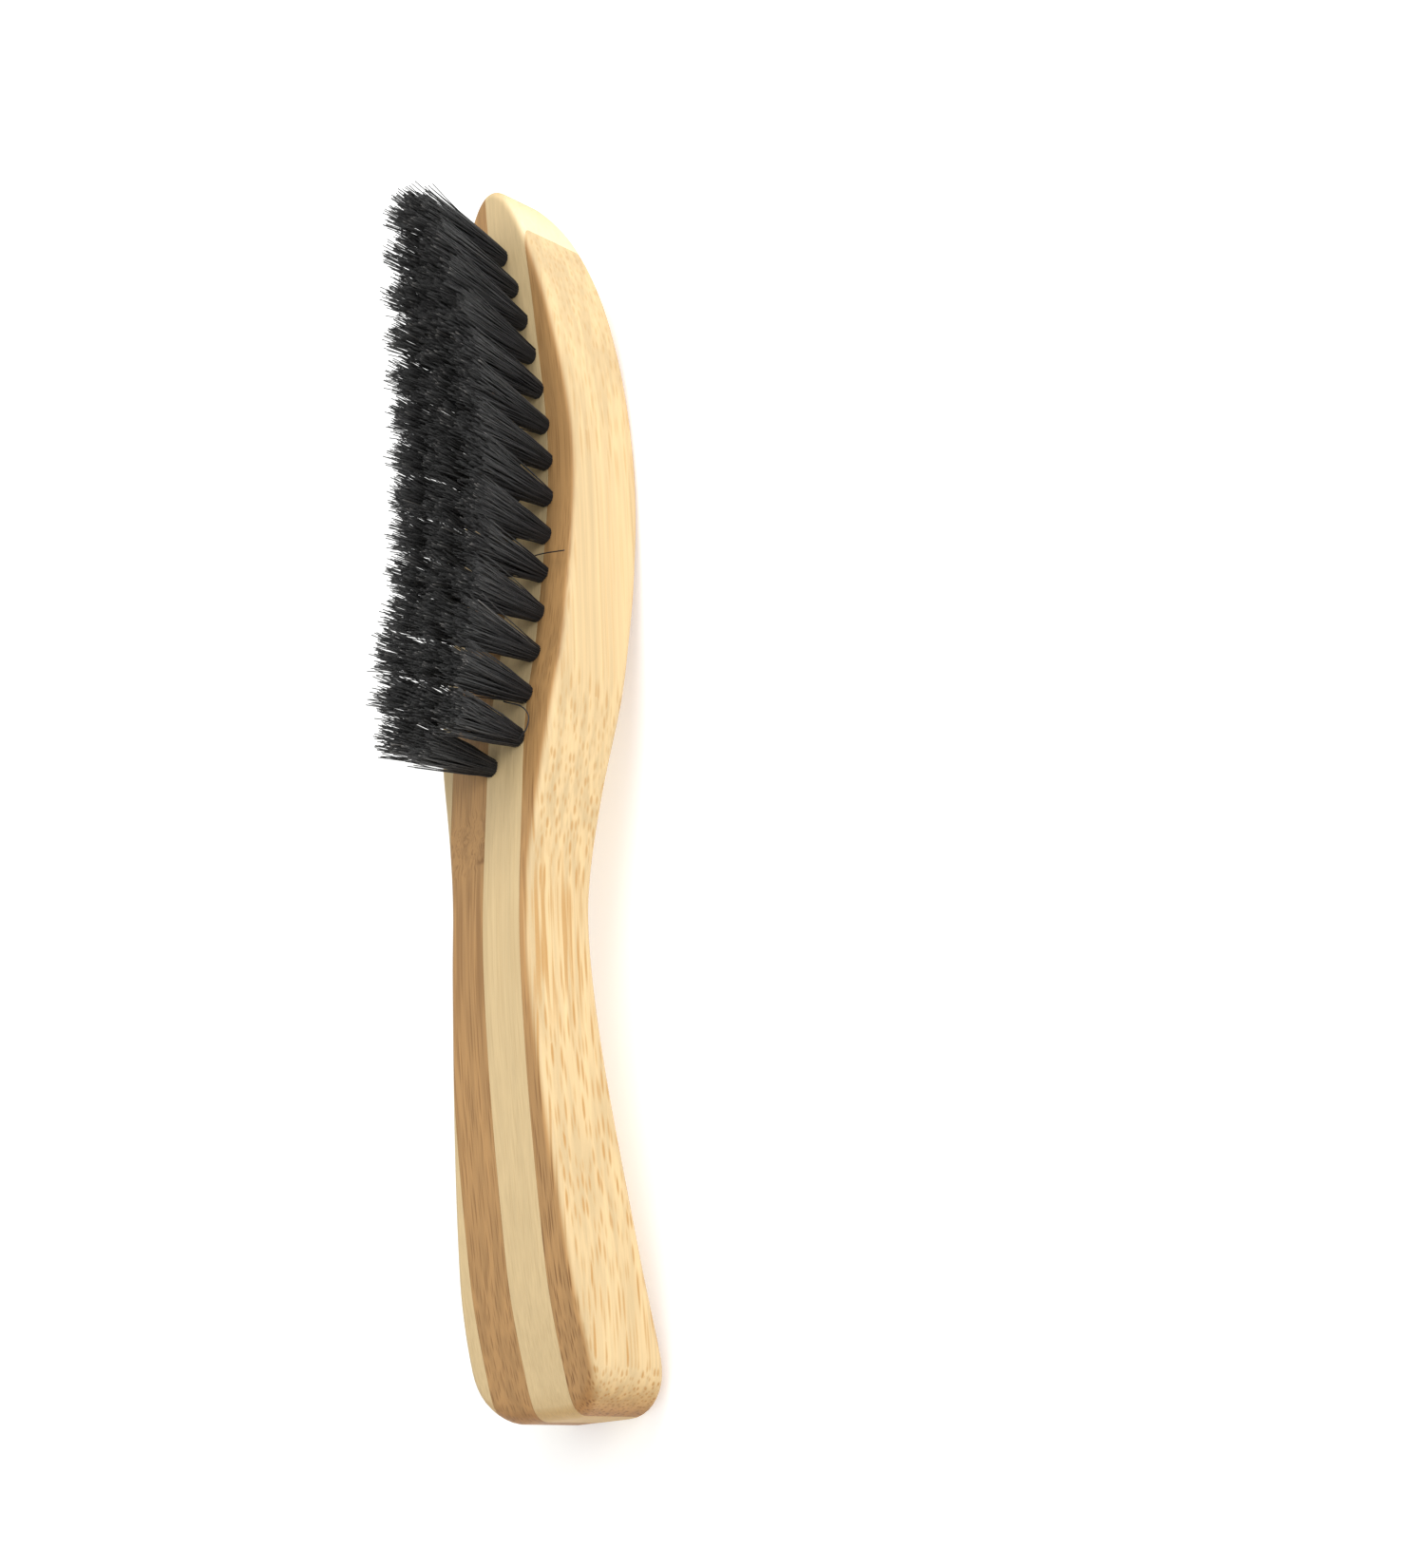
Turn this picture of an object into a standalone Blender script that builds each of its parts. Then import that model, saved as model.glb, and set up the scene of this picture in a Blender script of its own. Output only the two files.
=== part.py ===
"""Beard brush: a curved bamboo body glued up from four strips, with three rows of bristle tufts.

The brush lies on its back with the bristles up. +X runs from the butt of the handle to the tip of
the head, +Y to the left and +Z up. The origin is the bottom centre of the brush's box. All lengths
are in metres.
"""
import math

import bmesh
import bpy
from mathutils import Matrix, Vector

# ---------------------------------------------------------------- driving dimensions
LENGTH = 0.185
HEAD_HALF_WIDTH = 0.0129
NECK_HALF_WIDTH = 0.0081
BUTT_HALF_WIDTH = 0.0123
NOSE_LENGTH = 0.060          # the nose is half an ellipse this long
NOSE_BLUNT = 0.0007          # the very tip is sanded back by this much
SHOULDER = (0.080, 0.118)    # distances from the tip where the head narrows to the neck
HANDLE_FLARE = (0.116, 0.186)
BUTT_CORNER = 0.0073
EDGE_ROUND = 0.0011
STATIONS = 48
STATION_EASE = 0.75

# The two long faces' curves, as (distance from the middle of the brush, height).
BACK_LINE = [(-0.0935, 0.0), (-0.0705, 0.0043), (-0.0305, 0.0084), (-0.0065, 0.0070),
             (0.0095, 0.0043), (0.0275, 0.0013), (0.0475, 0.0), (0.0715, 0.0015),
             (0.0855, 0.0051), (0.0925, 0.0099)]
FRONT_LINE = [(-0.0935, 0.0122), (-0.0885, 0.0143), (-0.0725, 0.0177), (-0.0325, 0.0208),
              (-0.0045, 0.0195), (0.0055, 0.0185), (0.0175, 0.0161), (0.0455, 0.0129),
              (0.0695, 0.0150), (0.0845, 0.0170), (0.0925, 0.0176)]

STRIP_WIDTH = 0.0076
GLUE_GAP = 0.0003
GLUE_OFFSET = 0.0009         # the glued board sits this far left of the sawn outline
GLUE_SKEW = math.radians(-0.12)
NECK_X = -0.0285             # here the neck is so narrow that the left strip is sawn right through
SLAB_REACH = 0.1             # a strip's slab runs past both ends of the body, and above and below it
SLAB_MIDDLE = 0.01

# Each row of tufts, as the first and last tuft's distance from the middle of the brush.
RIGHT_ROW = (0.0804, 0.0006)
LEFT_ROW = (0.0819, 0.0006)
MIDDLE_ROW = (0.0712, -0.0025)
OUTER_ROW_TUFTS = 14
MIDDLE_ROW_TUFTS = 13
ROW_CROWDING = 0.0017        # the middle tufts of a row sit this much nearer the tip
ROW_INSET = 0.0061           # from the outline to the outer rows' holes
HOLE_RADIUS = 0.0015
HOLE_DEPTH = 0.006
HOLE_CLEARANCE = 0.0003
DRILL_ABOVE = 0.004
TUFT_TIP_RADIUS = 0.0021
TUFT_FLARE_START = 0.0005    # height above the wood where the bundle begins to open
# The bristles are trimmed to a shallow hollow, and stand higher at the tip and beside the handle.
TRIM_LINE = [(-0.0045, 0.0327), (0.0115, 0.0323), (0.0225, 0.0299), (0.0335, 0.0291),
             (0.0515, 0.0293), (0.0675, 0.0313), (0.0835, 0.0341)]
LEAN_AT_TIP = math.radians(7.0)
LEAN_AT_HEEL = math.radians(3.5)
SPLAY_PER_METRE = 12.0       # sideways slope of a tuft for each metre off the centre line

PALE_BAMBOO = (0.79, 0.66, 0.42, 1.0)
DARK_BAMBOO = (0.56, 0.35, 0.17, 1.0)
BRISTLE_BLACK = (0.018, 0.017, 0.018, 1.0)


def clear_scene():
    for item in list(bpy.data.objects):
        bpy.data.objects.remove(item, do_unlink=True)


def new_collection(name):
    collection = bpy.data.collections.new(name)
    bpy.context.scene.collection.children.link(collection)
    return collection


def make_material(name, color, roughness):
    material = bpy.data.materials.new(name)
    material.use_nodes = True
    shader = material.node_tree.nodes["Principled BSDF"]
    shader.inputs["Base Color"].default_value = color
    shader.inputs["Roughness"].default_value = roughness
    shader.inputs["Metallic"].default_value = 0.0
    material.diffuse_color = color
    return material


# ---------------------------------------------------------------- the shape's formulas
def smoothstep(low, high, value):
    t = min(max((value - low) / (high - low), 0.0), 1.0)
    return t * t * (3.0 - 2.0 * t)


def smooth_line(knots, x):
    """Height at x on the smooth curve through the knots (cubic Hermite)."""
    last = len(knots) - 1
    i = 0
    while i < last - 1 and x > knots[i + 1][0]:
        i += 1
    slopes = []
    for k in (i, i + 1):
        a, b = knots[max(k - 1, 0)], knots[min(k + 1, last)]
        slopes.append((b[1] - a[1]) / (b[0] - a[0]))
    span = knots[i + 1][0] - knots[i][0]
    t = (x - knots[i][0]) / span
    return ((2 * t**3 - 3 * t**2 + 1) * knots[i][1] + (t**3 - 2 * t**2 + t) * span * slopes[0]
            + (3 * t**2 - 2 * t**3) * knots[i + 1][1] + (t**3 - t**2) * span * slopes[1])


def half_width(x):
    """Half the brush's width: an elliptic nose, a shoulder, a neck and a flared handle."""
    from_tip = LENGTH / 2 - x + NOSE_BLUNT
    from_butt = LENGTH / 2 + x
    reach = 1.0 - min(from_tip / NOSE_LENGTH, 1.0)
    width = HEAD_HALF_WIDTH * math.sqrt(1.0 - reach * reach)
    width -= (HEAD_HALF_WIDTH - NECK_HALF_WIDTH) * smoothstep(*SHOULDER, from_tip)
    width += (BUTT_HALF_WIDTH - NECK_HALF_WIDTH) * smoothstep(*HANDLE_FLARE, from_tip)
    if from_butt < BUTT_CORNER:
        width -= BUTT_CORNER - math.sqrt(BUTT_CORNER**2 - (BUTT_CORNER - from_butt)**2)
    return width


# ---------------------------------------------------------------- the wood
def body_mesh():
    """The whole sawn body before its edges are rounded: a long grid, extruded upwards."""
    bm = bmesh.new()
    bmesh.ops.create_grid(bm, x_segments=STATIONS, y_segments=1, size=1.0)
    for vert in bm.verts:
        # The stations crowd together at both ends, where the outline curves most.
        eased = math.sin(vert.co.x * math.pi / 2)
        along = LENGTH / 2 * (STATION_EASE * eased + (1.0 - STATION_EASE) * vert.co.x)
        side = vert.co.y
        vert.co = (along, side * half_width(along), 0.0)
    top = bmesh.ops.extrude_face_region(bm, geom=bm.faces[:])
    raised = [item for item in top["geom"] if isinstance(item, bmesh.types.BMVert)]
    for vert in bm.verts:
        vert.co.z = smooth_line(BACK_LINE, vert.co.x)
    for vert in raised:
        vert.co.z = smooth_line(FRONT_LINE, vert.co.x)
    bmesh.ops.recalc_face_normals(bm, faces=bm.faces[:])
    mesh = bpy.data.meshes.new("sawn_body")
    bm.to_mesh(mesh)
    bm.free()
    return mesh


def as_cutter(item, cutters):
    for owner in list(item.users_collection):
        owner.objects.unlink(item)
    cutters.objects.link(item)
    item.hide_render = True
    item.display_type = 'WIRE'
    return item


def strip_slab(name, index, span, cutters):
    """A box as wide as one strip, over its span along X. Strip 0 is the right-hand one."""
    bpy.ops.mesh.primitive_cube_add(size=1.0)
    slab = bpy.context.object
    slab.name = name
    size = (span[1] - span[0], STRIP_WIDTH - GLUE_GAP, SLAB_REACH)
    middle = Vector(((span[0] + span[1]) / 2, (index - 1.5) * STRIP_WIDTH, SLAB_MIDDLE))
    slab.data.transform(Matrix.Translation(middle) @ Matrix.Diagonal((*size, 1.0)))
    slab.location.y = GLUE_OFFSET
    slab.rotation_euler.z = GLUE_SKEW
    return as_cutter(slab, cutters)


def make_strip(name, index, span, body, drills, material, parts, cutters):
    """One strip: the rounded body, cut down to its slab and drilled for the tufts."""
    strip = bpy.data.objects.new(name, body.copy())
    strip.data.materials.append(material)
    parts.objects.link(strip)
    rounding = strip.modifiers.new("rounded edges", 'BEVEL')
    rounding.width = EDGE_ROUND
    rounding.segments = 2
    rounding.limit_method = 'ANGLE'
    rounding.angle_limit = math.radians(40.0)
    sawing = strip.modifiers.new("strip", 'BOOLEAN')
    sawing.operation = 'INTERSECT'
    sawing.object = strip_slab(name + "_slab", index, span, cutters)
    drilling = strip.modifiers.new("tuft holes", 'BOOLEAN')
    drilling.operation = 'DIFFERENCE'
    drilling.object = drills
    return strip


# ---------------------------------------------------------------- the tufts
def row_places(ends, count):
    """Places along X of one row's tufts, spaced a little unevenly, as hand-set rows are."""
    places = []
    for k in range(count):
        t = k / (count - 1)
        places.append(ends[0] + (ends[1] - ends[0]) * t + ROW_CROWDING * math.sin(math.pi * t))
    return places


def tuft_places():
    """(name, x, y) of every tuft. The outer rows follow the outline."""
    places = []
    for side, row, ends in ((-1, "right", RIGHT_ROW), (1, "left", LEFT_ROW)):
        for k, x in enumerate(row_places(ends, OUTER_ROW_TUFTS)):
            places.append((f"tuft_{row}_{k + 1:02d}", x, side * (half_width(x) - ROW_INSET)))
    for k, x in enumerate(row_places(MIDDLE_ROW, MIDDLE_ROW_TUFTS)):
        places.append((f"tuft_middle_{k + 1:02d}", x, 0.0))
    return places


def tuft_frame(x, y):
    """Where a tuft leaves the wood, which way it points and how long it is from there."""
    root = Vector((x, y, smooth_line(FRONT_LINE, x)))
    along = (x - MIDDLE_ROW[1]) / (LEFT_ROW[0] - MIDDLE_ROW[1])
    lean = LEAN_AT_HEEL + (LEAN_AT_TIP - LEAN_AT_HEEL) * along
    direction = Vector((math.tan(lean), SPLAY_PER_METRE * y, 1.0)).normalized()
    return root, direction, (smooth_line(TRIM_LINE, x) - root.z) / direction.z


def drill_bits(places, cutters):
    """All the holes' cylinders in one mesh. They don't meet inside the wood."""
    bm = bmesh.new()
    for _, x, y in places:
        root, direction, _ = tuft_frame(x, y)
        middle = root + direction * (DRILL_ABOVE - HOLE_DEPTH) / 2
        turn = direction.to_track_quat('Z', 'Y').to_matrix().to_4x4()
        bmesh.ops.create_cone(bm, cap_ends=True, segments=12, radius1=HOLE_RADIUS,
                              radius2=HOLE_RADIUS, depth=DRILL_ABOVE + HOLE_DEPTH,
                              matrix=Matrix.Translation(middle) @ turn)
    mesh = bpy.data.meshes.new("tuft_drills")
    bm.to_mesh(mesh)
    bm.free()
    drills = bpy.data.objects.new("tuft_drills", mesh)
    return as_cutter(drills, cutters)


def make_tuft(name, x, y, material, parts):
    """A bundle of bristles as a turned solid: a shank in the hole, flaring to the trimmed end."""
    root, direction, length = tuft_frame(x, y)
    shank = HOLE_RADIUS - HOLE_CLEARANCE
    bottom = HOLE_CLEARANCE - HOLE_DEPTH
    profile = [(0.0, length), (TUFT_TIP_RADIUS, length), (shank, TUFT_FLARE_START),
               (shank, bottom), (0.0, bottom)]
    mesh = bpy.data.meshes.new(name)
    mesh.from_pydata([(r, 0.0, z) for r, z in profile],
                     [(i, i + 1) for i in range(len(profile) - 1)], [])
    mesh.materials.append(material)
    tuft = bpy.data.objects.new(name, mesh)
    parts.objects.link(tuft)
    tuft.location = root
    tuft.rotation_euler = direction.to_track_quat('Z', 'Y').to_euler()
    turning = tuft.modifiers.new("turned bundle", 'SCREW')
    turning.steps = 10
    turning.render_steps = 10
    turning.use_merge_vertices = True
    turning.merge_threshold = 0.00001
    return tuft


def main():
    clear_scene()
    parts = new_collection("beard_brush")
    cutters = new_collection("cutters")
    pale = make_material("pale_bamboo", PALE_BAMBOO, 0.45)
    dark = make_material("dark_bamboo", DARK_BAMBOO, 0.45)
    black = make_material("black_bristle", BRISTLE_BLACK, 0.5)
    places = tuft_places()
    body = body_mesh()
    drills = drill_bits(places, cutters)
    full, head, handle = (-SLAB_REACH, SLAB_REACH), (NECK_X, SLAB_REACH), (-SLAB_REACH, NECK_X)
    strips = [("outer_strip_dark", 0, full, dark), ("inner_strip_pale", 1, full, pale),
              ("inner_strip_dark", 2, full, dark), ("outer_strip_pale_head", 3, head, pale),
              ("outer_strip_pale_handle", 3, handle, pale)]
    for name, index, span, material in strips:
        make_strip(name, index, span, body, drills, material, parts, cutters)
    bpy.data.meshes.remove(body)
    for name, x, y in places:
        make_tuft(name, x, y, black, parts)


main()
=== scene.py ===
# %% [markdown]
# # A bamboo beard brush
# This lesson dresses the exact CAD model of a beard brush in its real surfaces: sanded bamboo glued
# up from pale and dark strips, and rows of black bristle tufts. The CAD model stays where it is.
# Each strip and each tuft made here stands for one CAD node, in the same place and at the same size.
# Only the hidden wire anchors and two stray bristles are extra.

# %% The frame
import math

import bmesh
import bpy
from mathutils import Matrix, Vector


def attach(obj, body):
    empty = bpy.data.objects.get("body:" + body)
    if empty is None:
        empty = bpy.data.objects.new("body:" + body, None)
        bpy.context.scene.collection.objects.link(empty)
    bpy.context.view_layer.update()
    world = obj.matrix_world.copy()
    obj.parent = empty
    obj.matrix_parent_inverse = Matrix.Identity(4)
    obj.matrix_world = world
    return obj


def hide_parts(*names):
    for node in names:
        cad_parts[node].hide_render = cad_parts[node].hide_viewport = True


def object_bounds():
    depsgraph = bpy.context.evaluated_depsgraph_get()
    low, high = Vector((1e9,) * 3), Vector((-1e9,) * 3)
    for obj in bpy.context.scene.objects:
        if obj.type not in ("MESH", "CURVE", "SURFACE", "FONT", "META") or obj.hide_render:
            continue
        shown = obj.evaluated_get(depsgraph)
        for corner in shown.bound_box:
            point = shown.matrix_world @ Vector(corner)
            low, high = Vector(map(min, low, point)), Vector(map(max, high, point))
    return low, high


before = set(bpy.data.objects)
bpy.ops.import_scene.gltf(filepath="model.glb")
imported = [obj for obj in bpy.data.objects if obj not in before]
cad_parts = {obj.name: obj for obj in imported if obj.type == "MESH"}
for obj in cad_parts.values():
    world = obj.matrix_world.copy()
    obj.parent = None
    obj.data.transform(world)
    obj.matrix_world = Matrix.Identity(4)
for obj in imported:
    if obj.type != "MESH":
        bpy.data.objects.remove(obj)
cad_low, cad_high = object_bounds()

LENGTH = 0.185
print(f"The CAD brush is {1000 * (cad_high.x - cad_low.x):.1f} mm long")
print("It has", len(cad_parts), "nodes")

# %% [markdown]
# ## The camera
# A brush lies on its back with the bristles up. The camera looks down at it from the right-hand side
# and a little from behind the butt, and it is rolled so that the tip points up in the picture. An
# "up" direction fixes the roll: the camera's matrix is built from where it looks and that direction.

# %% Camera
CAMERA_AT = Vector((-0.11391, -0.24371, 0.23426))
LOOK_DIRECTION = Vector((0.3151, 0.6481, -0.6933))
PICTURE_UP = Vector((0.9478, -0.2529, 0.1943))
FOCAL_LENGTH = 55.2
SENSOR_WIDTH = 36.0


def add_camera(place, forward, up, focal_length):
    camera = bpy.data.objects.new("camera", bpy.data.cameras.new("camera"))
    bpy.context.scene.collection.objects.link(camera)
    back = -forward.normalized()
    right = up.cross(back).normalized()
    turn = Matrix((right, back.cross(right), back)).transposed()
    camera.matrix_world = Matrix.Translation(place) @ turn.to_4x4()
    camera.data.sensor_width = SENSOR_WIDTH
    camera.data.lens = focal_length
    camera.data.clip_start = 0.01
    bpy.context.scene.camera = camera
    return camera


camera = add_camera(CAMERA_AT, LOOK_DIRECTION, PICTURE_UP, FOCAL_LENGTH)
print("Camera", [round(value, 3) for value in camera.location], "lens", camera.data.lens, "mm")

# %% [markdown]
# ## Light
# Product pictures on white are lit from all around, so the world itself is a pale dome. One large
# soft lamp on the right-hand side is brighter, which makes the brush's side lighter than its
# front, and the wood's paler side colours add painted light to that. A smaller lamp beyond the tip
# lights the nose. Large lamps keep the shadows soft.

# %% Lights and world
DOME_COLOR = (1.0, 0.985, 0.965, 1.0)
DOME_STRENGTH = 0.79
SIDE_LAMP_WATTS = 4.1
TIP_LAMP_WATTS = 3.6


def add_area_light(name, place, target, size, power):
    light = bpy.data.objects.new(name, bpy.data.lights.new(name, 'AREA'))
    bpy.context.scene.collection.objects.link(light)
    light.location = place
    light.rotation_euler = (Vector(target) - Vector(place)).to_track_quat('-Z', 'Y').to_euler()
    light.data.shape = 'DISK'
    light.data.size = size
    light.data.energy = power
    return light


world = bpy.data.worlds.new("pale dome")
world.use_nodes = True
dome = world.node_tree.nodes["Background"]
dome.inputs["Color"].default_value = DOME_COLOR
dome.inputs["Strength"].default_value = DOME_STRENGTH
bpy.context.scene.world = world
bpy.context.scene.view_settings.view_transform = 'Standard'
side_lamp = add_area_light("side lamp", (0.14, -0.80, 0.22), (0.0, 0.0, 0.01), 0.60,
                           SIDE_LAMP_WATTS)
tip_lamp = add_area_light("tip lamp", (0.75, -0.25, 0.55), (0.05, 0.0, 0.01), 0.50,
                          TIP_LAMP_WATTS)
print("Lamps:", side_lamp.data.energy, "W and", tip_lamp.data.energy, "W")

# %% [markdown]
# ## The floor
# The brush rests on a plain pale sheet. It is a wide, thin grid just under the lowest point, and it
# belongs to the studio, not to the brush. The sheet glows a little, which keeps it white right up to
# the brush and makes the shadows faint.

# %% Floor
FLOOR_WIDTH = 6.0
FLOOR_GAP = 0.0002
PAPER_GLOW = 0.27
PAPER_GLOW_COLOR = (0.90, 0.96, 1.0, 1.0)


def simple_material(name, color, roughness):
    material = bpy.data.materials.new(name)
    material.use_nodes = True
    shader = material.node_tree.nodes["Principled BSDF"]
    shader.inputs["Base Color"].default_value = color
    shader.inputs["Roughness"].default_value = roughness
    return material


bpy.ops.mesh.primitive_grid_add(x_subdivisions=4, y_subdivisions=4, size=FLOOR_WIDTH)
floor = bpy.context.object
floor.name = "floor"
floor.data.transform(Matrix.Translation((0.0, 0.0, cad_low.z - FLOOR_GAP)))
paper = simple_material("studio paper", (0.97, 0.97, 0.965, 1.0), 0.9)
paper_shader = paper.node_tree.nodes["Principled BSDF"]
paper_shader.inputs["Emission Color"].default_value = PAPER_GLOW_COLOR
paper_shader.inputs["Emission Strength"].default_value = PAPER_GLOW
floor.data.materials.append(paper)
print("Floor at", round(cad_low.z * 1000, 2), "mm")

# %% [markdown]
# ## The shape in numbers
# The body is sawn twice: once to the curve of its side view and once to the outline of its plan. Both
# are formulas with a few sizes in them. The nose is half an ellipse, and the shoulder and the
# handle's flare are smooth steps. The curved faces pass through a few heights.

# %% Shape formulas
HEAD_HALF_WIDTH = 0.0129
NECK_HALF_WIDTH = 0.0081
BUTT_HALF_WIDTH = 0.0123
NOSE_LENGTH = 0.0593
SHOULDER = (0.0793, 0.1173)
HANDLE_FLARE = (0.1153, 0.1853)
BUTT_CORNER = 0.0073
BACK_LINE = [(-0.0935, 0.0), (-0.0705, 0.0043), (-0.0305, 0.0084), (-0.0065, 0.0070),
             (0.0095, 0.0043), (0.0275, 0.0013), (0.0475, 0.0), (0.0715, 0.0015),
             (0.0855, 0.0051), (0.0925, 0.0099)]
FRONT_LINE = [(-0.0935, 0.0122), (-0.0885, 0.0143), (-0.0725, 0.0177), (-0.0325, 0.0208),
              (-0.0045, 0.0195), (0.0055, 0.0185), (0.0175, 0.0161), (0.0455, 0.0129),
              (0.0695, 0.0150), (0.0845, 0.0170), (0.0925, 0.0176)]


def smoothstep(low, high, value):
    t = min(max((value - low) / (high - low), 0.0), 1.0)
    return t * t * (3.0 - 2.0 * t)


def smooth_line(knots, x):
    """Height at x on the smooth curve through the knots (cubic Hermite)."""
    last = len(knots) - 1
    i = 0
    while i < last - 1 and x > knots[i + 1][0]:
        i += 1
    slopes = []
    for k in (i, i + 1):
        a, b = knots[max(k - 1, 0)], knots[min(k + 1, last)]
        slopes.append((b[1] - a[1]) / (b[0] - a[0]))
    span = knots[i + 1][0] - knots[i][0]
    t = (x - knots[i][0]) / span
    return ((2 * t**3 - 3 * t**2 + 1) * knots[i][1] + (t**3 - 2 * t**2 + t) * span * slopes[0]
            + (3 * t**2 - 2 * t**3) * knots[i + 1][1] + (t**3 - t**2) * span * slopes[1])


def half_width(x):
    from_tip = LENGTH / 2 - x
    from_butt = LENGTH / 2 + x
    reach = 1.0 - min(from_tip / NOSE_LENGTH, 1.0)
    width = HEAD_HALF_WIDTH * math.sqrt(max(1.0 - reach * reach, 0.0))
    width -= (HEAD_HALF_WIDTH - NECK_HALF_WIDTH) * smoothstep(*SHOULDER, from_tip)
    width += (BUTT_HALF_WIDTH - NECK_HALF_WIDTH) * smoothstep(*HANDLE_FLARE, from_tip)
    if from_butt < BUTT_CORNER:
        width -= BUTT_CORNER - math.sqrt(BUTT_CORNER**2 - (BUTT_CORNER - from_butt)**2)
    return width


print(f"Widths: head {2000 * half_width(0.02):.1f}, neck {2000 * half_width(-0.024):.1f}, "
      f"handle {2000 * half_width(-0.085):.1f} mm")

# %% [markdown]
# ## The sawn and sanded body
# The body is built as rows of points across it, crowded where the outline turns quickly. The front
# and back skins stop a little inside the outline, and rings of points go round the edge between
# them on a quarter circle. That is how sanding breaks an edge, and it stays clean at the narrow nose.
# It is a little rounder at the butt.

# %% Body mesh
EDGE_ROUND = 0.0012
BUTT_ROUND = 0.0016
BUTT_ROUND_FROM = 0.012
ACROSS = 12
EDGE_ANGLES = [math.radians(a) for a in range(0, 91, 15)]
CORNER_ANGLES = [math.radians(a) for a in range(0, 90, 9)]
NOSE_ANGLES = [math.radians(a) for a in range(0, 90, 2)]
STEPS_ALONG = 110


def edge_round(x):
    from_butt = LENGTH / 2 + x
    return BUTT_ROUND + (EDGE_ROUND - BUTT_ROUND) * smoothstep(0.0, BUTT_ROUND_FROM, from_butt)


def stations():
    """Places along X, from the butt to the tip."""
    butt, nose = -LENGTH / 2, LENGTH / 2 - NOSE_LENGTH
    places = [butt + BUTT_CORNER * (1.0 - math.cos(a)) for a in CORNER_ANGLES]
    straight_from = butt + BUTT_CORNER
    places += [straight_from + (nose - straight_from) * k / STEPS_ALONG for k in range(STEPS_ALONG)]
    return places + [nose + NOSE_LENGTH * math.sin(a) for a in NOSE_ANGLES]


def outline_rim():
    """(row, column, place, outward direction) of every point round the plan outline."""
    places = [(x, half_width(x)) for x in stations()]
    last = len(places) - 1
    outward = []
    for i in range(last + 1):
        (xa, wa), (xb, wb) = places[max(i - 1, 0)], places[min(i + 1, last)]
        outward.append(Vector((wa - wb, xb - xa)).normalized())
    outward[0] = Vector((-1.0, 0.0))
    order = [(i, 0) for i in range(last)] + [(last, j) for j in range(ACROSS)]
    order += [(i, ACROSS) for i in range(last, 0, -1)] + [(0, j) for j in range(ACROSS, 0, -1)]
    rim = []
    for i, j in order:
        side = 2.0 * j / ACROSS - 1.0
        place = Vector((places[i][0], side * places[i][1]))
        rim.append((i, j, place, Vector((outward[i].x, side * outward[i].y)).normalized()))
    return rim, last


def body_mesh():
    rim, last = outline_rim()
    bm = bmesh.new()
    rings = []
    for line, sign in ((FRONT_LINE, -1.0), (BACK_LINE, 1.0)):
        skin = {}
        for angle in EDGE_ANGLES:
            ring = []
            for i, j, place, out in rim:
                radius = edge_round(place.x)
                spot = place - out * radius * (1.0 - math.sin(angle))
                lift = sign * radius * (1.0 - math.cos(angle))
                ring.append(bm.verts.new((*spot, smooth_line(line, spot.x) + lift)))
                if angle == 0.0:
                    skin[i, j] = ring[-1]
            rings.append(ring)
        for i in range(1, last):
            right, left = skin[i, 0].co, skin[i, ACROSS].co
            for j in range(1, ACROSS):
                skin[i, j] = bm.verts.new(right.lerp(left, j / ACROSS))
        for i in range(last):
            for j in range(ACROSS):
                bm.faces.new((skin[i, j], skin[i + 1, j], skin[i + 1, j + 1], skin[i, j + 1]))
    front, back = rings[:len(EDGE_ANGLES)], rings[len(EDGE_ANGLES):]
    bands = front + back[::-1]
    for upper, lower in zip(bands, bands[1:]):
        for k in range(len(rim)):
            bm.faces.new((upper[k - 1], upper[k], lower[k], lower[k - 1]))
    bmesh.ops.recalc_face_normals(bm, faces=bm.faces[:])
    mesh = bpy.data.meshes.new("sawn_body")
    bm.to_mesh(mesh)
    bm.free()
    return mesh


sawn_body = body_mesh()
print("The sawn body has", len(sawn_body.polygons), "faces")

# %% [markdown]
# ## Where the tufts go
# The tufts stand in three staggered rows. The outer rows follow the outline at a fixed inset. The
# tufts lean a little towards the tip at the tip end, and the outer ones splay sideways. They are
# trimmed to a shallow hollow: longest beside the handle and at the tip.

# %% Tuft places
RIGHT_ROW = (0.0804, 0.0006)
LEFT_ROW = (0.0819, 0.0006)
MIDDLE_ROW = (0.0712, -0.0025)
OUTER_ROW_TUFTS = 14
MIDDLE_ROW_TUFTS = 13
ROW_CROWDING = 0.0017
ROW_INSET = 0.0061
TRIM_LINE = [(-0.0045, 0.0327), (0.0115, 0.0323), (0.0225, 0.0299), (0.0335, 0.0291),
             (0.0515, 0.0293), (0.0675, 0.0313), (0.0835, 0.0341)]
LEAN_AT_TIP = math.radians(7.0)
LEAN_AT_HEEL = math.radians(3.5)
SPLAY_PER_METRE = 12.0


def row_places(ends, count):
    """Places along X of one row's tufts, a little closer together at the heel than at the tip."""
    places = []
    for k in range(count):
        t = k / (count - 1)
        places.append(ends[0] + (ends[1] - ends[0]) * t + ROW_CROWDING * math.sin(math.pi * t))
    return places


def tuft_places():
    """(row and number, x, y) of every tuft."""
    places = []
    for side, row, ends in ((-1, "right", RIGHT_ROW), (1, "left", LEFT_ROW)):
        for k, x in enumerate(row_places(ends, OUTER_ROW_TUFTS)):
            places.append((f"{row}_{k + 1:02d}", x, side * (half_width(x) - ROW_INSET)))
    for k, x in enumerate(row_places(MIDDLE_ROW, MIDDLE_ROW_TUFTS)):
        places.append((f"middle_{k + 1:02d}", x, 0.0))
    return places


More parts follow.
